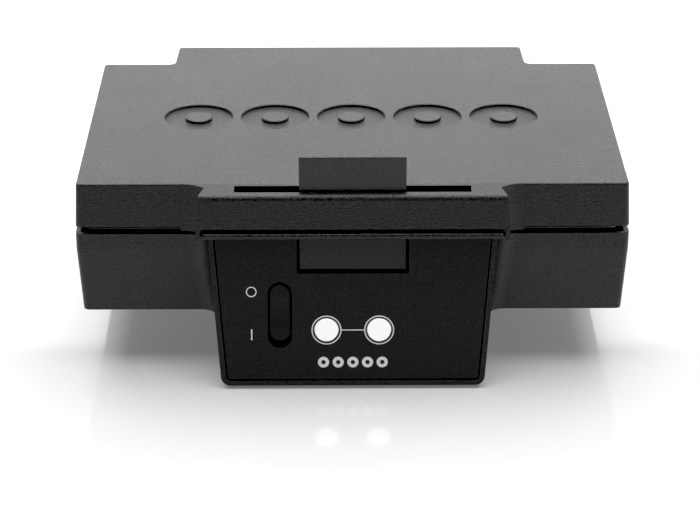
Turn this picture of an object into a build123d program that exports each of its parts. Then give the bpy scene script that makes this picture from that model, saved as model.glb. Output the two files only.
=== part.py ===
"""Two-plate donut maker: base, hinged lid, spring latch and sliding power switch, in millimetres."""

from build123d import *
from math import atan, cos, degrees, radians, sin, tan
import os

os.makedirs("parts", exist_ok=True)

# Overall sizes. X runs across the front, Y runs back, Z is up from the table.
overall_width = 285.4  # across the base at its rim
body_depth = 180.0  # front face to rear step of the lid top
lid_height = 23.4
seam_gap = 3.9  # between the lid edge and the base rim
wing_height = 44.0  # the part of the base that floats clear of the table
pedestal_drop = 32.2  # the part of the base that stands on the table
foot_height = 2.0

# Walls and radii
wall = 2.6
lid_wall = 2.4
corner_radius = 3.0
lid_flare = 1.1
wing_tuck = 2.2  # how far the wing walls draw in towards their bottom edge

# Front pedestal and its sloping panel
panel_tilt = 10.0
side_lean = 4.6
pedestal_half_width = 74.34  # at the top of the panel
panel_reach = 10.0  # top of the panel, in front of the body's front face
panel_thick = 2.6
frame_band = 2.8
panel_groove = 0.6

# Handle lip of the lid and its latch
lip_half_width = 78.7
lip_reach = 12.0
lip_slope = 9.0
lip_nose_radius = 3.2
lip_slot_half_width = 60.4
latch_half_width = 27.3
latch_tab_height = 17.8

# Hinge
hinge_back = 196.0  # behind the body's front face
hinge_bump_depth = 29.0
bump_half_width = 101.0
pin_radius = 2.0
knuckle_radius = 6.0
running_fit = 0.06

# Baking plates
ring_columns = 3
ring_rows = 2
ring_pitch_x = 84.0
ring_pitch_y = 80.0
ring_radius = 22.0  # centre line of the donut
cavity_half_width = 13.0
cavity_depth = 10.0
plate_metal = 2.2
plate_thick = 3.95
plate_face_gap = 0.05

# Heating tubes
tube_radius = 3.2
tube_turn = 75.0  # where the long legs start their end turns
tube_bend = 9.0
tube_gap = 16.0  # half the gap between the two cold ends

# Switch and lamps, measured down the panel from its top edge
switch_x = -37.6
switch_top = 23.6
switch_length = 35.0
switch_width = 12.4
knob_length = 29.8
knob_sink = 0.5  # below the panel's face
lens_x = 13.6
lens_down = 49.2
lens_radius = 6.1

# Levels and lines that follow from the sizes above
wing_bottom_z = foot_height + pedestal_drop
rim_z = wing_bottom_z + wing_height
lid_edge_z = rim_z + seam_gap
lid_top_z = lid_edge_z + lid_height
tuck_z = rim_z - 8.7
panel_top_z = rim_z + 1.7
panel_slope = tan(radians(panel_tilt))
foot_reach = panel_reach + panel_slope * (panel_top_z - foot_height)
total_depth = foot_reach + body_depth + hinge_bump_depth + lid_flare
front_y = foot_reach - total_depth / 2
mid_y = front_y + body_depth / 2
rear_y = front_y + body_depth
hinge_y = front_y + hinge_back
split_z = (rim_z + lid_edge_z) / 2
hinge_z = split_z
pedestal_rear_y = front_y + 168.0
lid_width = overall_width - 0.2
base_depth = body_depth + 2 * lid_flare + 0.2
lower_face_z = split_z - plate_face_gap
upper_face_z = split_z + plate_face_gap
lower_slab_z = lower_face_z - plate_thick
upper_slab_z = upper_face_z + plate_thick
shell_depth = cavity_depth + plate_metal
lower_tube_z = lower_face_z - shell_depth - tube_radius
upper_tube_z = upper_face_z + shell_depth + tube_radius
lower_reflector_z = lower_tube_z - 8.0
upper_reflector_z = upper_tube_z + tube_radius + 1.1
lid_inner_z = lid_top_z - lid_wall
plate_width = overall_width - 2 * wall - 3.2
plate_depth = base_depth - 2 * wall - 3.2
stud_x = plate_width / 2 - 7.5
stud_y = plate_depth / 2 - 8.0
panel_length = (panel_top_z - foot_height) / cos(radians(panel_tilt))
panel_taper = tan(radians(side_lean)) * cos(radians(panel_tilt))
latch_pivot_reach = 5.2
latch_pivot_z = lid_top_z - 7.0

panel_plane = Plane(
    origin=(0, front_y - panel_reach, panel_top_z),
    x_dir=(1, 0, 0),
    z_dir=(0, -cos(radians(panel_tilt)), sin(radians(panel_tilt))),
)


def save(shape, name):
    export_step(shape, f"parts/{name}.step")


def ahead(reach):
    """The Y of a line this far in front of the body's front face."""
    return front_y - reach


def box_between(x0, x1, y0, y1, z0, z1):
    size = Box(abs(x1 - x0), abs(y1 - y0), abs(z1 - z0))
    return Pos((x0 + x1) / 2, (y0 + y1) / 2, (z0 + z1) / 2) * size


def post(x, y, z0, z1, radius):
    return Pos(x, y, (z0 + z1) / 2) * Cylinder(radius, abs(z1 - z0))


def bar_x(x0, x1, y, z, radius):
    """A round bar along X."""
    return Pos((x0 + x1) / 2, y, z) * Rot(0, 90, 0) * Cylinder(radius, abs(x1 - x0))


def on_panel(x, down, out, shape):
    """Places a shape on the sloping panel: across, down from its top edge, out from its face."""
    return panel_plane * Pos(x, -down, out) * shape


def profile_x(points, half_width):
    """A side profile, given as (reach in front of the body, height) pairs, drawn out across X."""
    corners = [(ahead(reach), z) for reach, z in points]
    face = make_face(Polyline(*corners, close=True))
    side = Plane(origin=(-half_width, 0, 0), x_dir=(0, 1, 0), z_dir=(1, 0, 0))
    return extrude(side * face, amount=2 * half_width)


def pedestal_half(z):
    return pedestal_half_width - (panel_top_z - z) * tan(radians(side_lean))


def corners_of(half_x, half_y, centre_y=0.0):
    return [(sx * half_x, centre_y + sy * half_y) for sx in (-1, 1) for sy in (-1, 1)]


def ring_centres():
    places = []
    for column in range(ring_columns):
        for row in range(ring_rows):
            x = (column - (ring_columns - 1) / 2) * ring_pitch_x
            y = mid_y + (row - (ring_rows - 1) / 2) * ring_pitch_y
            places.append((x, y))
    return places


def clip_places():
    half = ring_pitch_x / 2
    return corners_of(half, ring_pitch_y / 2, mid_y)


def stud_places():
    return corners_of(stud_x, stud_y, mid_y)


# ---- Lid moulding ----


def lid_outline():
    """The lid's plan at its lower edge, with the hinge bump at the back."""
    side = lid_width / 2
    front = ahead(lid_flare)
    step = rear_y + lid_flare
    back = step + hinge_bump_depth
    bump = bump_half_width + lid_flare
    corners = [(-side, front), (side, front), (side, step), (bump, step)]
    corners += [(bump - 1, back), (1 - bump, back), (-bump, step), (-side, step)]
    face = make_face(Polyline(*corners, close=True))
    inner = [v for v in face.vertices() if abs(abs(v.X) - bump) < 0.1]
    outer = [v for v in face.vertices() if abs(abs(v.X) - bump) >= 0.1]
    face = fillet(inner, 3.0)
    outer = [v for v in face.vertices() if abs(abs(v.X) - side) < 0.1 or v.Y > back - 0.1]
    return fillet(outer, corner_radius)


def lid_block():
    taper = degrees(atan(lid_flare / lid_height))
    block = Pos(0, 0, lid_edge_z) * extrude(lid_outline(), amount=lid_height, taper=taper)
    top = block.faces().sort_by(Axis.Z)[-1]
    return fillet(top.edges(), 1.0)


def lip_outline(z, root_x, root_reach, swoop, half_width, reach):
    """Plan of the handle lip: a concave swoop out of the front face, then the lip's end and front."""
    angle = radians(33.7)
    half = angle / 2
    swoop_start = (root_x, root_reach)
    swoop_mid = (root_x - swoop * sin(half), root_reach + swoop * (1 - cos(half)))
    swoop_end = (root_x - swoop * sin(angle), root_reach + swoop * (1 - cos(angle)))

    def put(point, side):
        return (side * point[0], ahead(point[1]))

    right = ThreePointArc(put(swoop_start, 1), put(swoop_mid, 1), put(swoop_end, 1))
    left = ThreePointArc(put(swoop_end, -1), put(swoop_mid, -1), put(swoop_start, -1))
    front = Polyline(
        put(swoop_end, 1),
        put((half_width, reach), 1),
        put((half_width, reach), -1),
        put(swoop_end, -1),
    )
    rear = Polyline(
        put(swoop_start, -1),
        put((root_x, -1.5), -1),
        put((root_x, -1.5), 1),
        put(swoop_start, 1),
    )
    return Pos(0, 0, z) * make_face([right, front, left, rear])


def above_lip(drop):
    """Everything above the lip's sloping top, lowered by the given drop."""
    slab = Box(400, 200, 40, align=(Align.CENTER, Align.CENTER, Align.MIN))
    return Pos(0, front_y, lid_top_z - drop) * Rot(lip_slope, 0, 0) * slab


def lip_block():
    low_z = rim_z + 1.8
    top = lip_outline(lid_top_z, 88.0, 0.0, 22.0, lip_half_width, lip_reach)
    low = lip_outline(low_z, 88.6, lid_flare, 22.0, lip_half_width + 1.9, lip_reach + 1.85)
    block = loft([low, top], ruled=True)
    block = block - (above_lip(0) & box_between(-200, 200, ahead(60), ahead(0), 0, 300))
    nose = [
        e
        for e in block.edges()
        if e.length > 100 and e.center().Z > lid_top_z - 3 and e.center().Y < ahead(lip_reach - 2)
    ]
    block = fillet(nose, lip_nose_radius)
    for side in (-1, 1):
        corners = [(80.0, low_z - 1), (80.0, low_z), (89.5, lid_edge_z), (92.0, low_z - 1)]
        wedge = make_face(Polyline(*[(side * x, z) for x, z in corners], close=True))
        block -= Pos(0, ahead(2.2), 0) * extrude(Plane.XZ * wedge, amount=30)
    return block


def lip_void():
    low_z = rim_z + 1.7
    low = Rectangle(2 * (lip_half_width - 0.8), 9.9)
    top = Rectangle(2 * (lip_half_width - 2.4), 8.2)
    low = Pos(0, ahead(6.85), low_z) * low
    top = Pos(0, ahead(6.1), lid_top_z) * top
    return loft([low, top], ruled=True) - above_lip(2.2)


def lip_front_opening():
    """The front wall of the lip stops short of its ends, over the bead of the base."""
    edge_z = lid_top_z - 19.7
    half = lip_half_width - 0.8
    return box_between(-half, half, ahead(4), ahead(20), rim_z, edge_z)


def latch_lugs():
    lugs = []
    for side in (-1, 1):
        x0 = side * (latch_half_width + 1.3)
        x1 = side * (latch_half_width + 4.3)
        lugs.append(box_between(x0, x1, ahead(1.5), ahead(8.6), latch_pivot_z - 2.8, latch_pivot_z + 2.4))
    return lugs


def hinge_knuckle(x0, x1, bore):
    barrel = bar_x(x0, x1, hinge_y, hinge_z, knuckle_radius)
    web = box_between(x0, x1, hinge_y - 4, hinge_y + 4, hinge_z + 3, lid_inner_z + 0.5)
    return barrel + web, bar_x(x0 - 1, x1 + 1, hinge_y, hinge_z, bore)


def ring_groove():
    """One round groove, 1.4 deep, whose edges are softened at the surface."""
    half = 5.5
    soft = 0.8
    deep = 1.4
    section = make_face(
        [
            Line((-half - soft, 1), (-half - soft, 0)),
            RadiusArc((-half - soft, 0), (-half, -soft), soft),
            Line((-half, -soft), (-half, -deep)),
            Line((-half, -deep), (half, -deep)),
            Line((half, -deep), (half, -soft)),
            RadiusArc((half, -soft), (half + soft, 0), soft),
            Line((half + soft, 0), (half + soft, 1)),
            Line((half + soft, 1), (-half - soft, 1)),
        ]
    )
    return revolve(Plane.XZ * Pos(12.9, 0) * section, Axis.Z)


def ring_row_recess():
    """Five plain rings pressed into the lid top as its only decoration."""
    groove = ring_groove()
    pitch = 41.6
    return [Pos((place - 2) * pitch, front_y + 95.6, lid_top_z) * groove for place in range(5)]


def lid_cover():
    body = lid_block() + lip_block()
    room = RectangleRounded(lid_width - 2.2 - 2 * 2.0, body_depth - 2 * 2.0, 2.0)
    body -= Pos(0, mid_y, lid_edge_z - 1) * extrude(room, amount=lid_inner_z - lid_edge_z + 1)
    bump_rear = rear_y + hinge_bump_depth - lid_wall
    bump_room = bump_half_width - lid_wall
    body -= box_between(-bump_room, bump_room, rear_y + 1.9, bump_rear, lid_edge_z - 1, lid_inner_z)
    body -= lip_void()
    body -= lip_front_opening()
    slot = lip_slot_half_width
    body -= box_between(-slot, slot, ahead(2.0), ahead(8.0), lid_top_z - 8, lid_top_z + 5)
    for lug in latch_lugs():
        body += lug
    body -= bar_x(-60, 60, ahead(latch_pivot_reach), latch_pivot_z, 1.0)
    for side in (-1, 1):
        knuckle, bore = hinge_knuckle(side * 75 - 8.4, side * 75 + 8.4, pin_radius + running_fit)
        body += knuckle
        body -= bore
    for x, y in stud_places():
        body += post(x, y, upper_reflector_z + 0.6, lid_inner_z + 0.5, 5.0)
        body -= post(x, y, upper_reflector_z, lid_top_z - 1.3, 2.0)
    body -= box_between(-24, 24, rear_y - 4, rear_y + 4, upper_tube_z - 3.5, upper_tube_z + 3.5)
    for cut in ring_row_recess():
        body -= cut
    return body


# ---- Base moulding ----


def wing_section(z, inset):
    """Plan of the base above or below the line where its walls start to draw in."""
    drop = max(0.0, tuck_z - z) / (tuck_z - wing_bottom_z)
    shrink = 2 * (wing_tuck * drop + inset)
    radius = max(corner_radius - inset, 1.2)
    return Pos(0, mid_y, z) * RectangleRounded(overall_width - shrink, base_depth - shrink, radius)


def wing_block():
    straight = extrude(wing_section(tuck_z, 0), amount=rim_z - tuck_z)
    return straight + loft([wing_section(wing_bottom_z, 0), wing_section(tuck_z, 0)], ruled=True)


def wing_room():
    floor_z = wing_bottom_z + wall
    straight = extrude(wing_section(tuck_z, wall), amount=rim_z - tuck_z + 5)
    return straight + loft([wing_section(floor_z, wall), wing_section(tuck_z, wall)], ruled=True)


def pedestal_section(z0, z1, inset, radius):
    """Front view of the pedestal between two levels, narrowed on each side by the inset."""
    low = pedestal_half(z0) - inset
    high = pedestal_half(z1) - inset
    face = make_face(Polyline((-low, z0), (low, z0), (high, z1), (-high, z1), close=True))
    if radius > 0:
        face = fillet([v for v in face.vertices() if v.Y < z0 + 0.1], radius)
    return face


def pedestal_prism(z0, z1, y_rear, inset, radius):
    face = pedestal_section(z0, z1, inset, radius)
    plane = Plane(origin=(0, y_rear, 0), x_dir=(1, 0, 0), z_dir=(0, -1, 0))
    return extrude(plane * face, amount=y_rear - ahead(foot_reach + 6))


def before_panel(depth):
    """Everything in front of the sloping panel plane, moved back by the given depth."""
    return panel_plane * Pos(0, 0, -depth) * Box(400, 400, 80, align=(Align.CENTER, Align.CENTER, Align.MIN))


def gusset_section(z, side, radius):
    """Plan of the concave corner between a wing's front wall and the pedestal's side."""
    half = pedestal_half(z)
    drop = max(0.0, tuck_z - z) / (tuck_z - wing_bottom_z)
    face_reach = (base_depth - body_depth) / 2 - wing_tuck * drop
    lean = radius * (1 - cos(radians(45)))
    start = (side * (half + radius), ahead(face_reach))
    middle = (side * (half + lean), ahead(face_reach + lean))
    end = (side * half, ahead(face_reach + radius))
    arc = ThreePointArc(start, middle, end)
    back = Polyline(
        end,
        (side * (half - 1.5), ahead(face_reach + radius)),
        (side * (half - 1.5), ahead(face_reach - 1.5)),
        (side * (half + radius), ahead(face_reach - 1.5)),
        start,
    )
    return Pos(0, 0, z) * make_face([arc, back])


def gusset(side):
    upper = loft([gusset_section(tuck_z, side, 11.0), gusset_section(rim_z, side, 11.5)], ruled=True)
    lower = loft([gusset_section(wing_bottom_z, side, 8.5), gusset_section(tuck_z, side, 11.0)], ruled=True)
    return upper + lower


def bead():
    """Rounded bar along the top of the panel, under the handle lip."""
    z0 = panel_top_z
    z1 = panel_top_z + 3.5
    half = lip_half_width - 2.0
    bar = box_between(-half, half, ahead(8.5), ahead(13.8), z0, z1)
    front = [e for e in bar.edges().filter_by(Axis.X) if e.center().Y < ahead(12)]
    return fillet(front, 1.4)


def panel_outline(inset, radius, top=0.0):
    """Outline on the panel plane, set in from the pedestal's edges."""
    bottom = inset - panel_length
    high = pedestal_half_width - inset + top * panel_taper
    wide = pedestal_half_width + bottom * panel_taper - inset
    face = make_face(Polyline((-wide, bottom), (wide, bottom), (high, -top), (-high, -top), close=True))
    return fillet([v for v in face.vertices() if v.Y < bottom + 0.1], radius)


def hinge_ear(x0, x1):
    barrel = bar_x(x0, x1, hinge_y, hinge_z, knuckle_radius)
    wall_y = rear_y - 1.0
    corners = [
        (wall_y, rim_z - 17),
        (wall_y, rim_z - 0.4),
        (rear_y + 2.2, rim_z),
        (hinge_y - 3.2, hinge_z + 5),
        (hinge_y, hinge_z),
        (hinge_y - 2.4, hinge_z - 5.4),
    ]
    face = make_face(Polyline(*corners, close=True))
    plane = Plane(origin=(x0, 0, 0), x_dir=(0, 1, 0), z_dir=(1, 0, 0))
    return barrel + extrude(plane * face, amount=x1 - x0)


def cover_post_places():
    front = ahead(2.0)
    rear = pedestal_rear_y - 9.0
    return [(side * 60.0, y) for side in (-1, 1) for y in (front, rear)]


def base_housing():
    body = wing_block() + gusset(-1) + gusset(1)
    body += pedestal_prism(foot_height, panel_top_z, pedestal_rear_y, 0, 5.0)
    body -= before_panel(0)
    body += bead()
    body -= wing_room()
    floor_top = wing_bottom_z + wall
    low_room = pedestal_prism(foot_height - 6, floor_top + 0.5, pedestal_rear_y - wall, wall, 0)
    body -= low_room - before_panel(panel_thick + 2.6)
    high_room = pedestal_prism(foot_height - 6, panel_top_z - wall, ahead(1.2), wall, 0)
    body -= high_room - before_panel(panel_thick + 2.6)
    body -= box_between(-64, 64, ahead(-6), ahead(4), floor_top - 1, rim_z - 19)
    recess = panel_outline(frame_band, 2.5)
    body -= panel_plane * Pos(0, 0, -panel_thick) * extrude(recess, amount=panel_thick + 3) - bead()
    opening = panel_outline(frame_band + 3.0, 1.5, top=4.0)
    body -= panel_plane * Pos(0, 0, -12) * extrude(opening, amount=12)
    notch = latch_half_width + 1.3
    body -= box_between(-notch, notch, ahead(0.6), ahead(12.3), rim_z - 20, panel_top_z + 6)
    for x, y in stud_places():
        body += post(x, y, wing_bottom_z + 1, lower_reflector_z, 5.0)
        body -= post(x, y, wing_bottom_z + wall, lower_reflector_z + 1, 2.0)
    for x, y in cover_post_places():
        side = 1 if x > 0 else -1
        rib_end = pedestal_half(foot_height + 3.0) - wall + 1.0
        body += post(x, y, foot_height + 2.5, foot_height + 20, 4.5)
        body += box_between(x, side * rib_end, y - 1.2, y + 1.2, foot_height + 2.5, foot_height + 20)
        body -= post(x, y, foot_height, foot_height + 16, 1.5)
    for side in (-1, 1):
        for x in (side * 62.0, side * 87.4):
            half = 3.6
            body += hinge_ear(x - half, x + half)
    body -= bar_x(-95, 95, hinge_y, hinge_z, pin_radius)
    body -= Pos(40, pedestal_rear_y, foot_height + 13) * Rot(90, 0, 0) * Cylinder(6.0, 12)
    return body


# ---- Front panel and its fittings ----


def control_panel():
    outline = panel_outline(frame_band + panel_groove, 2.0, top=0.3)
    plate = extrude(outline, amount=panel_thick)
    rim = [e for e in plate.faces().sort_by(Axis.Z)[-1].edges()]
    plate = fillet(rim, 0.4)
    plate = Pos(0, 0, -panel_thick) * plate
    half = latch_half_width + 1.3
    plate -= box_between(-half, half, -19.0, 5, -5, 5)
    slot = SlotOverall(switch_length, switch_width, rotation=90)
    plate -= Pos(switch_x, -(switch_top + switch_length / 2), -5) * extrude(slot, amount=10)
    for side in (-1, 1):
        plate -= Pos(side * lens_x, -lens_down, 0) * Cylinder(lens_radius + 0.25, 10)
    for mark in markings_flat(0.25, 1.0):
        plate -= mark
    for x, down in panel_boss_places():
        plate += Pos(x, -down, -panel_thick - 3.5) * Cylinder(3.2, 7.0)
        plate -= Pos(x, -down, -panel_thick - 4.0) * Cylinder(1.2, 6.0)
    return panel_plane * plate


def panel_boss_places():
    return [(side * 58.0, down) for side in (-1, 1) for down in (22.0, 66.0)]


def markings_flat(depth, height):
    """Marks on the panel: lamp rings, the line between them, off and on signs, a row of small rings."""

    def ring(x, down, outer, inner):
        return Pos(x, -down, (height - depth) / 2) * (
            Cylinder(outer, height + depth) - Cylinder(inner, height + depth)
        )

    def bar(x, down, width, length):
        return Pos(x, -down, (height - depth) / 2) * Box(width, length, height + depth)

    marks = [ring(side * lens_x, lens_down, 7.75, 7.15) for side in (-1, 1)]
    marks.append(bar(0, lens_down, 2 * (lens_x - 7.75) + 0.2, 0.5))
    marks.append(ring(-52.2, 28.7, 2.75, 2.2))
    marks.append(bar(-52.2, 51.6, 0.7, 5.8))
    for place in range(5):
        marks.append(ring((place - 2) * 7.6, 66.5, 2.9, 1.15))
    return marks


def panel_markings():
    pieces = markings_flat(0.25, 0.04)
    joined = pieces[0] + pieces[1] + pieces[2]
    return panel_plane * Compound([joined.solids()[0]] + [p.solids()[0] for p in pieces[3:]])


def panel_screws():
    screws = []
    back = -panel_thick - 7.0
    for x, down in panel_boss_places():
        head = Pos(x, -down, back - 0.9) * Cylinder(2.6, 1.8)
        shank = Pos(x, -down, back + 2.5) * Cylinder(1.2, 5.0)
        slot = Pos(x, -down, back - 1.8) * Box(4.0, 0.7, 1.2)
        screws.append(head + shank - slot)
    return panel_plane * Compound([s.solids()[0] for s in screws])


def power_slider():
    """Sliding knob with a shallow dish, a keeper flange behind the panel and a leg into the switch."""
    width = switch_width - 1.8
    knob = extrude(SlotOverall(knob_length, width, rotation=90), amount=3.2 - knob_sink)
    top = knob.faces().sort_by(Axis.Z)[-1]
    knob = fillet(top.edges(), 0.5)
    knob = Pos(0, 0, -3.2) * knob
    knob -= Pos(0, 0, 88.6 - knob_sink) * Rot(0, 90, 0) * Cylinder(89.0, width - 2.4)
    flange = Pos(0, 0, -4.2) * extrude(SlotOverall(knob_length + 2, width + 3, rotation=90), amount=1.3)
    leg = Pos(0, 0, -6.7) * Box(5.0, 6.0, 5.0)
    down = switch_top + 1.5 + knob_length / 2
    return on_panel(switch_x, down, 0, knob + flange + leg)


def switch_body():
    """Slide switch behind the panel, with a channel for the knob's leg and three tags."""
    centre = switch_top + switch_length / 2
    body = Pos(0, 0, -13.0) * Box(16, 32, 14)
    body = fillet(body.edges().filter_by(Axis.Z), 1.0)
    body -= Pos(0, 0, -7.5) * Box(6.0, 17, 6.0)
    ear = Pos(0, 0, -7.0) * Box(15, 40, 2.0)
    body += ear - Pos(0, 0, -7.0) * Box(6.0, 17, 4.0)
    for tag in (-8, 0, 8):
        body += Pos(0, tag, -23.0) * Box(4.8, 0.8, 8.0)
    return on_panel(switch_x, centre, 0, body)


def lens(side):
    dome = Pos(0, 0, -1.9) * Cylinder(lens_radius, 5.0)
    dome = fillet(dome.edges().filter_by(GeomType.CIRCLE).sort_by(Axis.Z)[-1:], 0.9)
    flange = Pos(0, 0, -panel_thick - 0.6) * Cylinder(lens_radius + 0.9, 1.2)
    hollow = Pos(0, 0, -3.4) * Cylinder(lens_radius - 1.4, 4.0)
    return on_panel(side * lens_x, lens_down, 0, dome + flange - hollow)


def lamp_holder():
    block = Pos(0, 0, -panel_thick - 6.0) * Box(46, 18, 12.0)
    block = fillet(block.edges().filter_by(Axis.Z), 2.0)
    for side in (-1, 1):
        block -= Pos(side * lens_x, 0, -panel_thick - 1.5) * Cylinder(lens_radius + 1.2, 6.0)
        block -= Pos(side * lens_x, 0, -panel_thick - 8.0) * Cylinder(2.6, 12.0)
    return on_panel(0, lens_down, 0, block)


def indicator_lamps():
    lamps = []
    for side in (-1, 1):
        bulb = Pos(0, 0, -11.0) * Cylinder(2.6, 10.0)
        bulb = fillet(bulb.edges().sort_by(Axis.Z)[-1:], 1.6)
        for lead in (-1, 1):
            bulb += Pos(0, lead * 1.1, -18.5) * Cylinder(0.4, 6.0)
        lamps.append(on_panel(side * lens_x, lens_down, 0, bulb).solids()[0])
    return Compound(lamps)


# ---- Baking plates ----


def donut_shape(half_width, depth, radius):
    """A flattened ring: an ellipse turned round the Z axis."""
    section = Plane.XZ * Pos(radius, 0) * Ellipse(half_width, depth)
    return revolve(section, Axis.Z)


def baking_plate(face_z, back_sign):
    """Cast plate. Its back, with the ring shells and pads, points up or down by the sign."""
    slab_z = face_z + back_sign * plate_thick
    outline = RectangleRounded(plate_width, plate_depth, 6.0)
    low = min(face_z, slab_z)
    plate = Pos(0, mid_y, low) * extrude(outline, amount=plate_thick)
    edges = plate.edges().group_by(Axis.Z)[-1 if back_sign < 0 else 0]
    plate = fillet(edges, 0.8)
    shell = donut_shape(cavity_half_width + plate_metal, shell_depth, ring_radius)
    keep = box_between(-200, 200, -200, 200, face_z, face_z + back_sign * 40)
    shell = Pos(0, 0, face_z) * shell & keep
    bowl = Pos(0, 0, face_z) * donut_shape(cavity_half_width, cavity_depth, ring_radius)
    for x, y in ring_centres():
        plate += Pos(x, y, 0) * shell
    for x, y in ring_centres():
        plate -= Pos(x, y, 0) * bowl
    pad_end = face_z + back_sign * shell_depth
    for x, y in clip_places():
        plate += box_between(x - 3.9, x + 3.9, y - 11, y + 11, slab_z - back_sign, pad_end)
        for step in (-7.4, 7.4):
            plate -= post(x, y + step, pad_end - back_sign * 6, pad_end + back_sign, 1.25)
    for x, y in stud_places():
        plate -= post(x, y, face_z - 1, face_z + 1, 4.4)
        plate -= post(x, y, low - 1, low + plate_thick + 1, 2.15)
    if back_sign < 0:
        x = ring_pitch_x / 2
        for step in (-13.5, 13.5):
            plate += post(x + step, mid_y, slab_z + 1, slab_z - 7.5, 3.2)
            plate -= post(x + step, mid_y, slab_z - 1.5, slab_z - 8, 1.25)
        for step in (-6.6, 6.6):
            plate -= post(-x, mid_y + step, slab_z + 2.5, slab_z - 1, 1.25)
    return plate


def element_path(tube_z, turn_down):
    """A long loop under both rows; the cold ends turn down, or back when the space is shallow."""
    half = ring_pitch_y / 2
    rear = mid_y + half
    near = mid_y - half
    reach = tube_turn + half
    inner = tube_gap + tube_bend
    root = tube_bend * cos(radians(45))
    edges = []
    for side in (-1, 1):
        edges.append(Line((side * inner, rear, tube_z), (side * tube_turn, rear, tube_z)))
        edges.append(
            ThreePointArc(
                (side * tube_turn, rear, tube_z),
                (side * reach, mid_y, tube_z),
                (side * tube_turn, near, tube_z),
            )
        )
        if turn_down:
            middle = (side * (inner - root), rear, tube_z - tube_bend + root)
            corner = (side * tube_gap, rear, tube_z - tube_bend)
            end = (side * tube_gap, rear, tube_z - tube_bend - 10)
        else:
            middle = (side * (inner - root), rear + tube_bend - root, tube_z)
            corner = (side * tube_gap, rear + tube_bend, tube_z)
            end = (side * tube_gap, rear + tube_bend + 20, tube_z)
        edges.append(ThreePointArc((side * inner, rear, tube_z), middle, corner))
        edges.append(Line(corner, end))
    edges.append(Line((-tube_turn, near, tube_z), (tube_turn, near, tube_z)))
    return Wire(edges)


def heating_element(tube_z, turn_down):
    path = element_path(tube_z, turn_down)
    start = path.position_at(0)
    section = Plane(origin=start, z_dir=path.tangent_at(0)) * Circle(tube_radius)
    return sweep(section, path=path)


def element_terminals(tube_z, turn_down):
    """A ceramic bead and a flat tag on each cold end."""
    ends = []
    rear = mid_y + ring_pitch_y / 2
    for side in (-1, 1):
        bead_piece = Cylinder(2.9, 4.0, align=(Align.CENTER, Align.CENTER, Align.MIN))
        tag = Pos(0, 0, 7.0) * Box(0.8, 4.8, 7.0)
        piece = bead_piece + tag
        if turn_down:
            place = Pos(side * tube_gap, rear, tube_z - tube_bend - 10) * Rot(180, 0, 0)
        else:
            place = Pos(side * tube_gap, rear + tube_bend + 20, tube_z) * Rot(-90, 0, 0)
        ends.append((place * piece).solids()[0])
    return Compound(ends)


def strap(radius, width, foot, thick, hole_step):
    """A strap over a tube on X: the tube's axis is the origin and the seat is above it."""
    outer = Cylinder(radius + thick, width) + Pos(0, radius / 2, 0) * Box(
        2 * (radius + thick), radius, width
    )
    inner = Cylinder(radius, width + 2) + Pos(0, radius, 0) * Box(2 * radius, 2 * radius, width + 2)
    feet = Pos(0, radius - thick / 2, 0) * Box(2 * foot, thick, width)
    section = (outer + feet) - inner
    section -= Pos(0, radius + 5, 0) * Box(4 * foot, 10, width + 2)
    for step in (-hole_step, hole_step):
        section -= Pos(step, radius, 0) * Rot(90, 0, 0) * Cylinder(1.3, 6)
    across = Plane(origin=(0, 0, 0), x_dir=(0, 1, 0), z_dir=(1, 0, 0))
    return across * section


def element_clips(tube_z, back_sign):
    clips = []
    for x, y in clip_places():
        turn = Rot(0, 0, 0) if back_sign < 0 else Rot(180, 0, 0)
        clips.append((Pos(x, y, tube_z) * turn * strap(tube_radius, 7.0, 10.2, 0.8, 7.4)).solids()[0])
    return clips


def small_screw(x, y, seat_z, back_sign):
    """Pan-head screw driven from the back of a plate: the head is on the far side of its seat."""
    head = post(x, y, seat_z, seat_z + back_sign * 1.5, 2.2)
    shank = post(x, y, seat_z, seat_z - back_sign * 6.0, 1.25)
    cross = Pos(x, y, seat_z + back_sign * 1.5) * (Box(3.0, 0.6, 1.2) + Box(0.6, 3.0, 1.2))
    return ((head + shank) - cross).solids()[0]


def clip_screws(face_z, back_sign):
    seat = face_z + back_sign * (shell_depth + 0.8)
    return [
        small_screw(x, y + step, seat, back_sign) for x, y in clip_places() for step in (-7.4, 7.4)
    ]


def plate_spacers(z0, z1):
    sleeves = []
    for x, y in stud_places():
        sleeves.append((post(x, y, z0, z1, 4.0) - post(x, y, z0 - 1, z1 + 1, 2.15)).solids()[0])
    return Compound(sleeves)


def plate_screws(face_z, back_sign, tip_z):
    """Flat-headed screws let into the baking face."""
    screws = []
    for x, y in stud_places():
        top = face_z + back_sign * 0.1
        head = post(x, y, top, face_z + back_sign * 1.0, 4.3)
        shank = post(x, y, face_z + back_sign * 0.9, tip_z, 2.0)
        cross = Pos(x, y, top) * (Box(5.0, 0.9, 1.0) + Box(0.9, 5.0, 1.0))
        screws.append(((head + shank) - cross).solids()[0])
    return Compound(screws)


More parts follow.
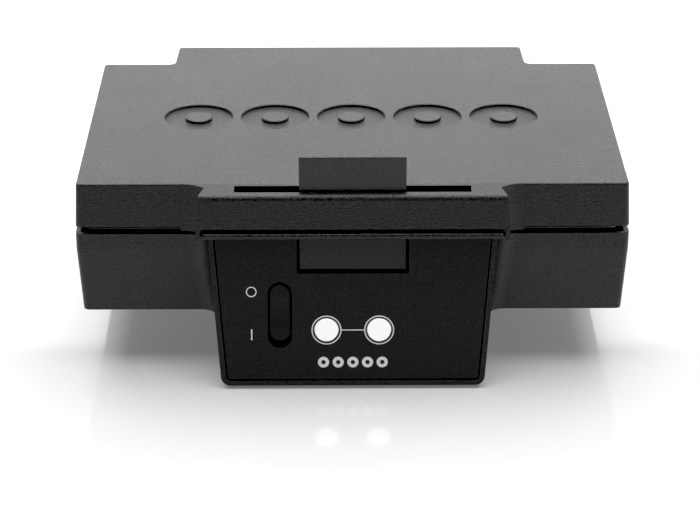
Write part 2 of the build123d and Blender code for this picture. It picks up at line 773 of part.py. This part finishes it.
def reflector(sheet_z, thick, rim_sign, tag_holes):
    """Folded sheet tray that throws the heat back at the plate."""
    width = 2 * (stud_x + 5.0)
    depth = 2 * (stud_y + 5.0)
    tray = Pos(0, mid_y, sheet_z) * extrude(RectangleRounded(width, depth, 4), amount=thick)
    rim_face = RectangleRounded(width, depth, 4) - RectangleRounded(width - 1.6, depth - 1.6, 3.2)
    start = sheet_z if rim_sign > 0 else sheet_z + thick
    tray += Pos(0, mid_y, start) * extrude(rim_face, amount=rim_sign * 5.5)
    for x, y in stud_places():
        tray -= post(x, y, sheet_z - 1, sheet_z + thick + 1, 2.15)
    if tag_holes:
        for side in (-1, 1):
            tray -= post(side * tube_gap, mid_y + ring_pitch_y / 2, sheet_z - 1, sheet_z + 2, 6.0)
        for x, y in ((30.0, mid_y), (-30.0, mid_y)):
            tray -= post(x, y, sheet_z - 1, sheet_z + 2, 4.0)
    else:
        rear = mid_y + depth / 2
        tray -= box_between(-21, 21, rear - 3, rear + 1, sheet_z - 7, sheet_z)
    return tray


def thermostat():
    x = ring_pitch_x / 2
    top = lower_slab_z
    body = post(x, mid_y, top, top - 2.0, 8.4) + post(x, mid_y, top - 2, top - 7.5, 7.4)
    for side in (-1, 1):
        body += box_between(x - 2.4, x + 2.4, mid_y + side * 6.0, mid_y + side * 11.0, top - 5.4, top - 4.6)
    return body


def thermostat_bracket():
    x = ring_pitch_x / 2
    seat = lower_slab_z - 7.5
    strip = box_between(x - 17.0, x + 17.0, mid_y - 3.5, mid_y + 3.5, seat - 0.8, seat)
    for step in (-13.5, 13.5):
        strip -= post(x + step, mid_y, seat - 2, seat + 1, 1.3)
    return strip


def thermal_fuse():
    z = lower_slab_z - 2.2
    x = -ring_pitch_x / 2
    body = bar_x(x - 6.5, x + 6.5, mid_y, z, 2.2)
    return body + bar_x(x - 15, x + 15, mid_y, z, 0.5)


def fuse_clip():
    z = lower_slab_z - 2.2
    return Pos(-ring_pitch_x / 2, mid_y, z) * strap(2.2, 5.0, 9.4, 0.6, 6.6)


def lower_clip_screws():
    screws = clip_screws(lower_face_z, -1)
    x = ring_pitch_x / 2
    for step in (-13.5, 13.5):
        screws.append(small_screw(x + step, mid_y, lower_slab_z - 8.3, -1))
    return Compound(screws)


def fuse_clip_screws():
    screws = []
    for step in (-6.6, 6.6):
        y = mid_y + step
        seat = lower_slab_z - 0.6
        head = post(-ring_pitch_x / 2, y, seat, seat - 1.3, 2.0)
        shank = post(-ring_pitch_x / 2, y, seat, seat + 3.0, 1.25)
        screws.append((head + shank).solids()[0])
    return Compound(screws)


# ---- Bottom, feet, inlet and wiring ----


def bottom_cover():
    half = pedestal_half(foot_height) - wall - 0.3
    rear = pedestal_rear_y - wall - 0.3
    front = ahead(foot_reach - panel_thick - 3.3)
    plate = box_between(-half, half, front, rear, foot_height, foot_height + 2.5)
    plate = fillet(plate.edges().filter_by(Axis.Z), 2.0)
    for x, y in cover_post_places():
        plate -= post(x, y, foot_height - 1, foot_height + 1.6, 3.0)
        plate -= post(x, y, foot_height, foot_height + 4, 1.7)
    for x, y in foot_places():
        plate -= post(x, y, foot_height - 1, foot_height + 4, 3.0)
    for row in range(5):
        for side in (-1, 1):
            y = mid_y - 30 + row * 12
            slot = extrude(SlotOverall(26, 3.0), amount=6)
            plate -= Pos(side * 30, y, foot_height - 1) * slot
    return plate


def foot_places():
    front = ahead(-6.0)
    rear = pedestal_rear_y - 24.0
    return [(side * 50.0, y) for side in (-1, 1) for y in (front, rear)]


def feet():
    pads = []
    for x, y in foot_places():
        pad = post(x, y, 0, foot_height, 8.0)
        pad = fillet(pad.edges().sort_by(Axis.Z)[:1], 0.6)
        stem = post(x, y, foot_height - 0.5, foot_height + 2.5, 3.0)
        lip = post(x, y, foot_height + 2.5, foot_height + 4.0, 3.8)
        pads.append((pad + stem + lip).solids()[0])
    return Compound(pads)


def bottom_cover_screws():
    screws = []
    for x, y in cover_post_places():
        head = post(x, y, foot_height + 0.1, foot_height + 1.6, 2.8)
        shank = post(x, y, foot_height + 1.6, foot_height + 14, 1.5)
        cross = Pos(x, y, foot_height + 0.1) * (Box(3.6, 0.7, 1.4) + Box(0.7, 3.6, 1.4))
        screws.append(((head + shank) - cross).solids()[0])
    return Compound(screws)


def cable_inlet_bush():
    """Rubber inlet in the back of the pedestal; the cord itself isn't part of this."""
    y = pedestal_rear_y
    z = foot_height + 13
    neck = Pos(40, y - wall / 2, z) * Rot(90, 0, 0) * Cylinder(6.0, wall)
    outside = Pos(40, y + 1.5, z) * Rot(90, 0, 0) * Cylinder(8.5, 3.0)
    outside = fillet(outside.edges().sort_by(Axis.Y)[-1:], 1.0)
    inside = Pos(40, y - wall - 1.0, z) * Rot(90, 0, 0) * Cylinder(7.5, 2.0)
    bore = Pos(40, y, z) * Rot(90, 0, 0) * Cylinder(3.6, 30)
    return neck + outside + inside - bore


def terminal_block():
    z0 = foot_height + 2.5
    y = pedestal_rear_y - 50.0
    block = box_between(-18, 18, y - 7, y + 7, z0, z0 + 13)
    block = fillet(block.edges().filter_by(Axis.Z), 1.0)
    for way in (-12, -4, 4, 12):
        block -= post(way, y - 3.5, z0 + 5, z0 + 14, 1.7)
        block -= post(way, y + 3.5, z0 + 5, z0 + 14, 1.7)
    for gap in (-8, 0, 8):
        block -= box_between(gap - 0.6, gap + 0.6, y - 8, y + 8, z0 + 9, z0 + 14)
    return block


def wire_run(points, first, last, radius=1.1):
    """A lead through the points, leaving and arriving in the given directions."""
    path = Spline(*points, tangents=[first, last])
    section = Plane(origin=path @ 0, z_dir=path % 0) * Circle(radius)
    return sweep(section, path=path).solids()[0]


def behind_panel(x, down, depth):
    """A point behind the panel's face, on the line through the given place."""
    return tuple((panel_plane.location * Pos(x, -down, -depth)).position)


def base_wiring():
    """Leads from the terminal block to the element, switch, lamps and cable inlet."""
    z0 = foot_height + 2.5
    y = pedestal_rear_y - 50.0
    tag_z = lower_tube_z - tube_bend - 10 - 11.0
    element_y = mid_y + ring_pitch_y / 2
    out_of_panel = tuple(panel_plane.z_dir)
    back, front, up = (0, 1, 0), (0, -1, 0), (0, 0, 1)
    runs = []
    for side in (-1, 1):
        points = [(side * 4, y + 7.0, z0 + 6.5), (side * tube_gap, element_y, tag_z)]
        runs.append(wire_run(points, back, up))
    switch_end = behind_panel(switch_x, switch_top + switch_length / 2, 27.0)
    points = [(-12, y - 7.0, z0 + 6.5), (-26, y - 40, z0 + 13), switch_end]
    runs.append(wire_run(points, front, out_of_panel))
    for side, way in ((-1, -4), (1, 12)):
        lamp_end = behind_panel(side * lens_x, lens_down, 21.8)
        points = [(way, y - 7.0, z0 + 6.5), (side * lens_x, y - 40, z0 + 11), lamp_end]
        runs.append(wire_run(points, front, out_of_panel))
    inlet = (40, pedestal_rear_y - wall - 2.0, foot_height + 13)
    runs.append(wire_run([(12, y + 7.0, z0 + 6.5), inlet], back, back))
    return Compound(runs)


def lid_wiring():
    """Two leads from the upper element's tags to the hinge hollow, where they end."""
    start_y = mid_y + ring_pitch_y / 2 + tube_bend + 20 + 10.5
    runs = []
    for side in (-1, 1):
        points = [(side * tube_gap, start_y, upper_tube_z), (side * 7, rear_y + 10, upper_tube_z - 0.5)]
        runs.append(wire_run(points, (0, 1, 0), (0, 1, 0)))
    return Compound(runs)


# ---- Hinge pin and latch ----


def hinge_pin():
    pin = bar_x(-92, 92, hinge_y, hinge_z, pin_radius)
    return fillet(pin.edges().filter_by(GeomType.CIRCLE), 0.5)


def latch_lever():
    """Tab, pivot barrel, stem and nose in one moulding."""
    top = lid_top_z
    tab = [(4.4, top - 3), (7.15, top - 3), (8.2, top + latch_tab_height), (5.4, top + latch_tab_height)]
    stem = [
        (3.9, latch_pivot_z),
        (6.6, latch_pivot_z),
        (6.6, top - 22.5),
        (8.2, top - 24.8),
        (10.7, top - 43.0),
        (8.1, top - 43.3),
        (5.6, top - 26.5),
        (3.9, top - 20.0),
    ]
    lever = profile_x(tab, latch_half_width)
    lever = fillet(lever.edges().filter_by(Axis.X).sort_by(Axis.Z)[-2:], 0.6)
    lever += profile_x(stem, latch_half_width)
    barrel_y = ahead(latch_pivot_reach)
    lever += bar_x(-latch_half_width, latch_half_width, barrel_y, latch_pivot_z, 2.6)
    lever -= bar_x(-40, 40, barrel_y, latch_pivot_z, 1.0 + running_fit)
    lever -= box_between(-5, 5, ahead(2), ahead(9), latch_pivot_z - 3.4, latch_pivot_z + 3.2)
    return lever


def latch_pin():
    half = latch_half_width + 4.3
    return bar_x(-half, half, ahead(latch_pivot_reach), latch_pivot_z, 1.0)


def latch_spring():
    """Torsion spring round the pin: one leg on the lever's stem, one on the lid's wall."""
    turns = 7
    wire = 0.3
    coil_radius = 1.6
    coil = Helix(pitch=0.9, height=0.9 * turns, radius=coil_radius)
    section = Plane(origin=coil @ 0, z_dir=coil % 0) * Circle(wire)
    spring = Pos(0, 0, -0.9 * turns / 2) * sweep(section, path=coil, is_frenet=True)
    spring = Pos(0, ahead(latch_pivot_reach), latch_pivot_z) * Rot(0, 90, 0) * spring
    half = 0.9 * turns / 2
    y = ahead(latch_pivot_reach)
    z = latch_pivot_z - coil_radius
    back_leg = Pos(half, (y + ahead(2.0)) / 2, z) * Rot(90, 0, 0) * Cylinder(wire, ahead(2.0) - y)
    down_leg = post(-half, y, z + 0.1, latch_pivot_z - 3.4, wire)
    return spring + back_leg + down_leg


# ---- Write every piece ----

save(lid_cover(), "lid_cover")
save(base_housing(), "base_housing")
save(control_panel(), "control_panel")
save(panel_markings(), "panel_markings")
save(panel_screws(), "panel_screws")
save(power_slider(), "power_slider")
save(switch_body(), "switch_body")
save(lens(-1), "power_lens")
save(lens(1), "ready_lens")
save(lamp_holder(), "lamp_holder")
save(indicator_lamps(), "indicator_lamps")
save(baking_plate(lower_face_z, -1), "lower_plate")
save(baking_plate(upper_face_z, 1), "upper_plate")
save(heating_element(lower_tube_z, True), "lower_heating_element")
save(heating_element(upper_tube_z, False), "upper_heating_element")
save(element_terminals(lower_tube_z, True), "lower_element_terminals")
save(element_terminals(upper_tube_z, False), "upper_element_terminals")
save(Compound(element_clips(lower_tube_z, -1)), "lower_element_clips")
save(Compound(element_clips(upper_tube_z, 1)), "upper_element_clips")
save(lower_clip_screws(), "lower_clip_screws")
save(Compound(clip_screws(upper_face_z, 1)), "upper_clip_screws")
save(plate_spacers(lower_reflector_z + 0.8, lower_slab_z), "lower_plate_spacers")
save(plate_spacers(upper_slab_z, upper_reflector_z), "upper_plate_spacers")
save(plate_screws(lower_face_z, -1, lower_reflector_z - 10), "lower_plate_screws")
save(plate_screws(upper_face_z, 1, lid_top_z - 1.6), "upper_plate_screws")
save(reflector(lower_reflector_z, 0.8, 1, True), "lower_reflector")
save(reflector(upper_reflector_z, 0.6, -1, False), "upper_reflector")
save(thermostat(), "thermostat")
save(thermostat_bracket(), "thermostat_bracket")
save(thermal_fuse(), "thermal_fuse")
save(fuse_clip(), "fuse_clip")
save(fuse_clip_screws(), "fuse_clip_screws")
save(bottom_cover(), "bottom_cover")
save(feet(), "feet")
save(bottom_cover_screws(), "bottom_cover_screws")
save(cable_inlet_bush(), "cable_inlet_bush")
save(terminal_block(), "terminal_block")
save(base_wiring(), "base_wiring")
save(lid_wiring(), "lid_wiring")
save(hinge_pin(), "hinge_pin")
save(latch_lever(), "latch_lever")
save(latch_pin(), "latch_pin")
save(latch_spring(), "latch_spring")
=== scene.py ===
import bpy
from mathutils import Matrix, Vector


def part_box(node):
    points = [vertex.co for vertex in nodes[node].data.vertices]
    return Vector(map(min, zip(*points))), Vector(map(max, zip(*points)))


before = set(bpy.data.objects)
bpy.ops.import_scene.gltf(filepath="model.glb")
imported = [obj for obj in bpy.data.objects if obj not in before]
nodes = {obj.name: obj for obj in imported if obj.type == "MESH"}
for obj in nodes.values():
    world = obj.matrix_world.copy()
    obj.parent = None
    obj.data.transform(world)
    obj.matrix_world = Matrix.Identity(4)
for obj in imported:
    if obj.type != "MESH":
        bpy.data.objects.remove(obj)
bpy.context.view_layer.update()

mm = 0.001

print("frame loaded:", len(nodes), "nodes")


def toLinear(hexColour, alpha=1.0):
    parts = [int(hexColour[i:i + 2], 16) / 255 for i in (1, 3, 5)]
    return tuple(c / 12.92 if c <= 0.04045 else ((c + 0.055) / 1.055) ** 2.4 for c in parts) + (alpha,)


def addNode(tree, kind, settings=None, values=None, links=None):
    made = tree.nodes.new(kind)
    for name, value in (settings or {}).items():
        setattr(made, name, value)
    for name, value in (values or {}).items():
        made.inputs[name].default_value = value
    for name, source in (links or {}).items():
        tree.links.new(source, made.inputs[name])
    return made


def newMaterial(name):
    # an empty tree with its output and one shader
    material = bpy.data.materials.new(name)
    material.use_nodes = True
    tree = material.node_tree
    tree.nodes.clear()
    shader = addNode(tree, "ShaderNodeBsdfPrincipled")
    addNode(tree, "ShaderNodeOutputMaterial", links={"Surface": shader.outputs[0]})
    place = addNode(tree, "ShaderNodeTexCoord").outputs["Object"]
    return material, tree, shader, place


def blendColours(tree, factor, first, second):
    mix = addNode(tree, "ShaderNodeMix", {"data_type": "RGBA"}, links={"Factor": factor})
    mix.inputs[6].default_value = toLinear(first)
    mix.inputs[7].default_value = toLinear(second)
    return mix.outputs[2]


def dress(material, *names):
    for name in names:
        nodes[name].data.materials.clear()
        nodes[name].data.materials.append(material)


# injection-moulded ABS with a spark-eroded skin: dry black, finely grained,
# brighter where it is seen at a low angle
mouldedPlastic = {
    "dark": "#020202", "light": "#272728",
    "grainMm": 1.0,  # the real grain is near 0.3 mm, drawn coarser so it shows
    "grainHeightMm": 0.36,
    "bump": 1.0,
    "rough": (0.26, 0.40),
    "ior": 1.5,
}


def makeTexturedPlastic(name, look):
    material, tree, shader, place = newMaterial(name)
    grain = addNode(tree, "ShaderNodeTexNoise", values={
        "Scale": 1 / (look["grainMm"] * mm), "Detail": 2.0, "Roughness": 0.6}, links={"Vector": place})
    cloud = addNode(tree, "ShaderNodeTexNoise", values={
        "Scale": 18.0, "Detail": 3.0}, links={"Vector": place})
    spread = addNode(tree, "ShaderNodeMapRange", values={
        "From Min": 0.35, "From Max": 0.65}, links={"Value": grain.outputs["Fac"]})
    pigment = blendColours(tree, spread.outputs[0], look["dark"], look["light"])
    tree.links.new(pigment, shader.inputs["Base Color"])
    uneven = addNode(tree, "ShaderNodeMath", {"operation": "MULTIPLY_ADD"}, {1: 0.35}, {
        0: cloud.outputs["Fac"], 2: grain.outputs["Fac"]})
    low, high = look["rough"]
    rough = addNode(tree, "ShaderNodeMapRange", values={
        "From Min": 0.45, "From Max": 0.95, "To Min": low, "To Max": high,
    }, links={"Value": uneven.outputs[0]})
    tree.links.new(rough.outputs[0], shader.inputs["Roughness"])
    bump = addNode(tree, "ShaderNodeBump", values={
        "Strength": look["bump"], "Distance": look["grainHeightMm"] * mm,
    }, links={"Height": grain.outputs["Fac"]})
    tree.links.new(bump.outputs[0], shader.inputs["Normal"])
    shader.inputs["IOR"].default_value = look["ior"]
    return material


dress(makeTexturedPlastic("texturedAbsShell", mouldedPlastic), "lid_cover", "base_housing")

# the fascia comes from a smoother tool, so it is flatter and darker
fasciaPlastic = dict(mouldedPlastic, dark="#070708", light="#1f1f20", grainMm=0.9, grainHeightMm=0.16,
                     rough=(0.36, 0.46), ior=1.45)
dress(makeTexturedPlastic("satinAbsFascia", fasciaPlastic), "control_panel")

# the knob is polished more than the fascia and looks a shade deeper
knobPlastic = dict(mouldedPlastic, dark="#0b0b0c", light="#161618", grainMm=0.7, grainHeightMm=0.03,
                   rough=(0.44, 0.54), ior=1.45)
dress(makeTexturedPlastic("polishedAbsKnob", knobPlastic), "power_slider")

# nylon latch, eggshell smooth; drawn greyer than the shell as painted light, standing for the light its lower
# nose catches
latchPaintedLighterPlastic = dict(mouldedPlastic, dark="#161617", light="#303031", grainMm=0.7, grainHeightMm=0.08,
                    rough=(0.26, 0.34), ior=1.5)
dress(makeTexturedPlastic("paintedLighterNylonLatch", latchPaintedLighterPlastic), "latch_lever")

# heat-resistant moulding compound of the hidden fittings: mid grey, chalky
innerPlastic = dict(mouldedPlastic, dark="#3a3a3c", light="#4a4a4c", grainMm=1.2, grainHeightMm=0.03,
                    rough=(0.45, 0.6))
dress(makeTexturedPlastic("phenolicFittings", innerPlastic),
      "lamp_holder", "switch_body", "terminal_block", "bottom_cover")

print("plastics done")


def makeInk():
    # pad-printed white ink: slightly uneven film, soft gloss
    material, tree, shader, place = newMaterial("whitePadPrint")
    film = addNode(tree, "ShaderNodeTexNoise", values={
        "Scale": 900.0, "Detail": 2.0}, links={"Vector": place})
    tree.links.new(blendColours(tree, film.outputs["Fac"], "#e4e4e2", "#f4f4f2"), shader.inputs["Base Color"])
    shader.inputs["Roughness"].default_value = 0.5
    return material


def makeLensWithPaintedGlow(name, tint):
    # milky polycarbonate with a painted glow: it gives off light of its own though the lamp behind it is off
    material, tree, shader, place = newMaterial(name)
    milk = addNode(tree, "ShaderNodeTexNoise", values={
        "Scale": 180.0, "Detail": 2.0}, links={"Vector": place})
    tree.links.new(blendColours(tree, milk.outputs["Fac"], "#f0f0ef", tint), shader.inputs["Base Color"])
    shader.inputs["Roughness"].default_value = 0.25
    shader.inputs["IOR"].default_value = 1.58
    shader.inputs["Subsurface Weight"].default_value = 0.3
    shader.inputs["Subsurface Radius"].default_value = (0.003, 0.003, 0.003)
    # painted glow: a white emission that makes the unlit lens look brightly lit
    shader.inputs["Emission Color"].default_value = toLinear("#ffffff")
    shader.inputs["Emission Strength"].default_value = 0.35
    return material


dress(makeInk(), "panel_markings")
dress(makeLensWithPaintedGlow("milkyLensPower", "#fbfbfa"), "power_lens")
dress(makeLensWithPaintedGlow("milkyLensReady", "#fafbfb"), "ready_lens")


nonStick = {
    "coat": ("#202123", "#4c4d50"),
    # colours of the painted highlight line: pale speckled bare metal
    "bareHighlight": ("#55575a", "#c2c4c6"),
    "rim": 0.987,  # share of the half width or depth from which the edge is bare metal carrying the painted highlight
    "bandMm": 0.7,  # half the height of the bare, painted highlight line at the joint
    "speckMm": 1.0,  # the real casting grain is near 0.4 mm, drawn coarser so it shows
}


def rimHighlightMask(tree, place, look):
    # 1 on the outer edge of the plates close to where they meet, where the painted highlight line goes
    low, high = [Vector(c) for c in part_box("lower_plate")]
    joint = high.z
    middle, half = (low + high) / 2, (high - low) / 2
    local = addNode(tree, "ShaderNodeVectorMath", {"operation": "SUBTRACT"}, {
        1: (middle.x, middle.y, joint)}, {0: place})
    share = addNode(tree, "ShaderNodeVectorMath", {"operation": "DIVIDE"}, {
        1: (half.x, half.y, look["bandMm"] * mm)}, {0: local.outputs[0]})
    size = addNode(tree, "ShaderNodeVectorMath", {"operation": "ABSOLUTE"}, links={0: share.outputs[0]})
    axes = addNode(tree, "ShaderNodeSeparateXYZ", links={"Vector": size.outputs[0]})
    outer = addNode(tree, "ShaderNodeMath", {"operation": "MAXIMUM"}, links={
        0: axes.outputs["X"], 1: axes.outputs["Y"]})
    edge = addNode(tree, "ShaderNodeMath", {"operation": "GREATER_THAN"}, {
        1: look["rim"]}, {0: outer.outputs[0]})
    line = addNode(tree, "ShaderNodeMath", {"operation": "LESS_THAN"}, {1: 1.0}, {0: axes.outputs["Z"]})
    both = addNode(tree, "ShaderNodeMath", {"operation": "MULTIPLY"}, links={
        0: edge.outputs[0], 1: line.outputs[0]})
    return both.outputs[0]


def makeNonStick(look):
    # die-cast aluminium under a dark fluoropolymer coat: tiny pale flecks, soft sheen,
    # and a painted highlight at the rim: a thin band of pale speckled bare metal where the plates meet
    material, tree, shader, place = newMaterial("nonStickCoating")
    flecks = addNode(tree, "ShaderNodeTexVoronoi", values={"Scale": 500.0}, links={"Vector": place})
    spots = addNode(tree, "ShaderNodeMapRange", values={
        "From Min": 0.12, "From Max": 0.2, "To Min": 1.0, "To Max": 0.0,
    }, links={"Value": flecks.outputs["Distance"]})
    speck = addNode(tree, "ShaderNodeTexNoise", values={
        "Scale": 1 / (look["speckMm"] * mm), "Detail": 2.0}, links={"Vector": place})
    # painted highlight: a thin pale bare-metal line along the joint
    rim = rimHighlightMask(tree, place, look)
    mix = addNode(tree, "ShaderNodeMix", {"data_type": "RGBA"}, {}, {
        "Factor": rim, 6: blendColours(tree, spots.outputs[0], *look["coat"]),
        7: blendColours(tree, speck.outputs["Fac"], *look["bareHighlight"])})
    tree.links.new(mix.outputs[2], shader.inputs["Base Color"])
    tree.links.new(rim, shader.inputs["Metallic"])
    cast = addNode(tree, "ShaderNodeTexNoise", values={
        "Scale": 260.0, "Detail": 3.0}, links={"Vector": place})
    bump = addNode(tree, "ShaderNodeBump", values={
        "Strength": 0.15, "Distance": 0.1 * mm}, links={"Height": cast.outputs["Fac"]})
    tree.links.new(bump.outputs[0], shader.inputs["Normal"])
    shader.inputs["Roughness"].default_value = 0.38
    return material


def makeMetal(name, first, second, rough, stretch=(1, 1, 1), scale=300.0, bumpMm=0.02):
    # drawn, rolled or plated metal: fine streaks along its working direction
    material, tree, shader, place = newMaterial(name)
    turned = addNode(tree, "ShaderNodeMapping", values={"Scale": stretch}, links={"Vector": place})
    streaks = addNode(tree, "ShaderNodeTexNoise", values={
        "Scale": scale, "Detail": 3.0}, links={"Vector": turned.outputs[0]})
    tree.links.new(blendColours(tree, streaks.outputs["Fac"], first, second), shader.inputs["Base Color"])
    low, high = rough
    spread = addNode(tree, "ShaderNodeMapRange", values={
        "To Min": low, "To Max": high}, links={"Value": streaks.outputs["Fac"]})
    tree.links.new(spread.outputs[0], shader.inputs["Roughness"])
    bump = addNode(tree, "ShaderNodeBump", values={
        "Strength": 0.2, "Distance": bumpMm * mm}, links={"Height": streaks.outputs["Fac"]})
    tree.links.new(bump.outputs[0], shader.inputs["Normal"])
    shader.inputs["Metallic"].default_value = 1.0
    return material


def makeWoven():
    # glass-fibre sleeve over the leads: crossed threads about 0.8 mm apart
    material, tree, shader, place = newMaterial("wovenGlassSleeve")
    waves = []
    for direction in ("X", "Z"):
        waves.append(addNode(tree, "ShaderNodeTexWave", {"bands_direction": direction}, {
            "Scale": 200.0, "Distortion": 0.4}, {"Vector": place}))
    weave = addNode(tree, "ShaderNodeMath", {"operation": "MAXIMUM"})
    tree.links.new(waves[0].outputs["Fac"], weave.inputs[0])
    tree.links.new(waves[1].outputs["Fac"], weave.inputs[1])
    threads = blendColours(tree, weave.outputs[0], "#8f8a80", "#cfcabd")
    tree.links.new(threads, shader.inputs["Base Color"])
    bump = addNode(tree, "ShaderNodeBump", values={
        "Strength": 0.5, "Distance": 0.15 * mm}, links={"Height": weave.outputs[0]})
    tree.links.new(bump.outputs[0], shader.inputs["Normal"])
    shader.inputs["Roughness"].default_value = 0.8
    return material


def makePlain(name, first, second, rough, scale, bumpMm):
    # ceramic, rubber and lamp glass: low-contrast mottling and a faint surface
    material, tree, shader, place = newMaterial(name)
    mottle = addNode(tree, "ShaderNodeTexNoise", values={
        "Scale": scale, "Detail": 3.0}, links={"Vector": place})
    tree.links.new(blendColours(tree, mottle.outputs["Fac"], first, second), shader.inputs["Base Color"])
    bump = addNode(tree, "ShaderNodeBump", values={
        "Strength": 0.25, "Distance": bumpMm * mm}, links={"Height": mottle.outputs["Fac"]})
    tree.links.new(bump.outputs[0], shader.inputs["Normal"])
    shader.inputs["Roughness"].default_value = rough
    return material, shader


dress(makeNonStick(nonStick), "lower_plate", "upper_plate")
dress(makeMetal("heatTintedSheath", "#6e6257", "#8b8278", (0.35, 0.5), scale=90.0),
      "lower_heating_element", "upper_heating_element")
rolledSheet = makeMetal("rolledAluminiumSheet", "#c9cbcd", "#dcdddf", (0.28, 0.42),
                        stretch=(0.05, 1, 1), scale=600.0)
dress(rolledSheet, "lower_reflector", "upper_reflector")
dress(makeMetal("zincPlatedStrip", "#b4b5b0", "#cbccc9", (0.3, 0.45), scale=400.0),
      "lower_element_clips", "upper_element_clips", "thermostat_bracket", "fuse_clip",
      "lower_clip_screws", "upper_clip_screws", "lower_plate_screws", "upper_plate_screws",
      "fuse_clip_screws", "panel_screws", "bottom_cover_screws", "lower_plate_spacers", "upper_plate_spacers")
dress(makeMetal("drawnSteelPin", "#b9bbbd", "#d4d6d8", (0.18, 0.3), stretch=(0.05, 1, 1), scale=500.0),
      "hinge_pin", "latch_pin", "latch_spring")
dress(makeMetal("pressedCap", "#bfc0c0", "#d0d1d1", (0.3, 0.4), scale=350.0), "thermostat", "thermal_fuse")
dress(makePlain("steatiteBead", "#d8d2c4", "#e8e3d8", 0.7, 300.0, 0.05)[0],
      "lower_element_terminals", "upper_element_terminals")
dress(makePlain("softRubber", "#141414", "#1f1f1f", 0.75, 250.0, 0.05)[0], "feet", "cable_inlet_bush")
lampGlass, lampShader = makePlain("neonLampGlass", "#ffd9c4", "#ffe7d8", 0.08, 80.0, 0.01)
lampShader.inputs["Transmission Weight"].default_value = 0.7
dress(lampGlass, "indicator_lamps")
dress(makeWoven(), "base_wiring", "lid_wiring")

print("materials done")


floorLook = {
    "size": 9.0,
    "white": ("#cecece", "#d2d2d2"),
    "shine": 0.06,
    "ior": 1.7,
    "glow": 0.14,  # the table is faintly lit from below
}


def makeFloor():
    # opal acrylic sheet on a light table: polished, so it mirrors softly
    bpy.ops.object.select_all(action="DESELECT")
    bpy.ops.mesh.primitive_plane_add(size=floorLook["size"], location=(0, 0, 0))
    floor = bpy.context.object
    floor.name = "floor"
    material, tree, shader, place = newMaterial("opalAcrylicTable")
    tone = addNode(tree, "ShaderNodeTexNoise", values={"Scale": 2.0}, links={"Vector": place})
    tree.links.new(blendColours(tree, tone.outputs["Fac"], *floorLook["white"]), shader.inputs["Base Color"])
    shader.inputs["Roughness"].default_value = floorLook["shine"]
    shader.inputs["IOR"].default_value = floorLook["ior"]
    shader.inputs["Emission Color"].default_value = toLinear("#ffffff")
    shader.inputs["Emission Strength"].default_value = floorLook["glow"]
    floor.data.materials.append(material)


# name, place, what it points at, width and height in metres, power in watts
softLights = [
    ("overheadSoftbox", (0, 0.25, 1.25), (0, 0.25, 0), (1.8, 2.0), 38.0),
    ("backSoftbox", (0, 0.95, 0.31), (0, 0, 0.10), (1.5, 0.36), 2.6),
    ("rightStrip", (1.1, -0.9, 0.35), (0, 0, 0.06), (0.25, 0.5), 1.5),
]


def addLight(name, place, aim, size, power):
    data = bpy.data.lights.new(name, "AREA")
    data.shape, data.size, data.size_y, data.energy = "RECTANGLE", size[0], size[1], power
    lamp = bpy.data.objects.new(name, data)
    bpy.context.scene.collection.objects.link(lamp)
    lamp.location = place
    lamp.rotation_euler = (Vector(aim) - Vector(place)).to_track_quat("-Z", "Y").to_euler()


roomLight = {
    # share of the way up from the horizon, and how bright the room is there behind and in front
    "behind": [(0.0, 0.9), (0.30, 0.62), (0.55, 0.5), (1.0, 0.4)],
    "front": 0.06,
    "strength": 2.0,
}


def makeWorld():
    # a lit sweep behind the table and a dark room in front, so the black plastic keeps its depth
    world = bpy.data.worlds.new("studio")
    bpy.context.scene.world = world
    world.use_nodes = True
    tree = world.node_tree
    tree.nodes.clear()
    way = addNode(tree, "ShaderNodeTexCoord").outputs["Generated"]
    axes = addNode(tree, "ShaderNodeSeparateXYZ", links={"Vector": way})
    depth = addNode(tree, "ShaderNodeMapRange", {"interpolation_type": "SMOOTHSTEP"}, {
        "From Min": -0.2, "From Max": 0.7}, {"Value": axes.outputs["Y"]})
    sweep = addNode(tree, "ShaderNodeValToRGB", links={"Fac": axes.outputs["Z"]})
    stops = sweep.color_ramp.elements
    strength = roomLight["strength"]
    for place, value in roomLight["behind"]:
        stop = stops[0] if place == 0.0 else (stops[1] if place == 1.0 else stops.new(place))
        stop.color = (value / strength, value / strength, value / strength, 1)
    mix = addNode(tree, "ShaderNodeMix", {"data_type": "FLOAT"}, {2: roomLight["front"] / strength}, {
        0: depth.outputs[0], 3: sweep.outputs[0]})
    background = addNode(tree, "ShaderNodeBackground", values={
        "Strength": strength}, links={"Color": mix.outputs[0]})
    addNode(tree, "ShaderNodeOutputWorld", links={"Surface": background.outputs[0]})


cameraSet = {
    "sensorMm": 36.0,
    "lensMm": 125.94,
    "placeMm": (-9.4, -1247.8, 587.15),
    "aimMm": (-0.7, -3.19, 23.36),
    "clip": (0.05, 20.0),
}


def makeCamera():
    data = bpy.data.cameras.new("camera")
    data.sensor_width = cameraSet["sensorMm"]
    data.lens = cameraSet["lensMm"]
    camera = bpy.data.objects.new("camera", data)
    bpy.context.scene.collection.objects.link(camera)
    camera.location = [value * mm for value in cameraSet["placeMm"]]
    aim = Vector([value * mm for value in cameraSet["aimMm"]])
    camera.rotation_euler = (aim - camera.location).to_track_quat("-Z", "Y").to_euler()
    data.clip_start, data.clip_end = cameraSet["clip"]
    bpy.context.scene.camera = camera


# a plain view with a slightly deeper black, as a product shot is developed
view = bpy.context.scene.view_settings
view.view_transform = "Standard"
view.use_curve_mapping = True
blackLevel = 0.010
view.curve_mapping.black_level = (blackLevel, blackLevel, blackLevel)
view.curve_mapping.update()
makeFloor()
makeWorld()
for light in softLights:
    addLight(*light)
makeCamera()

print("scene ready")
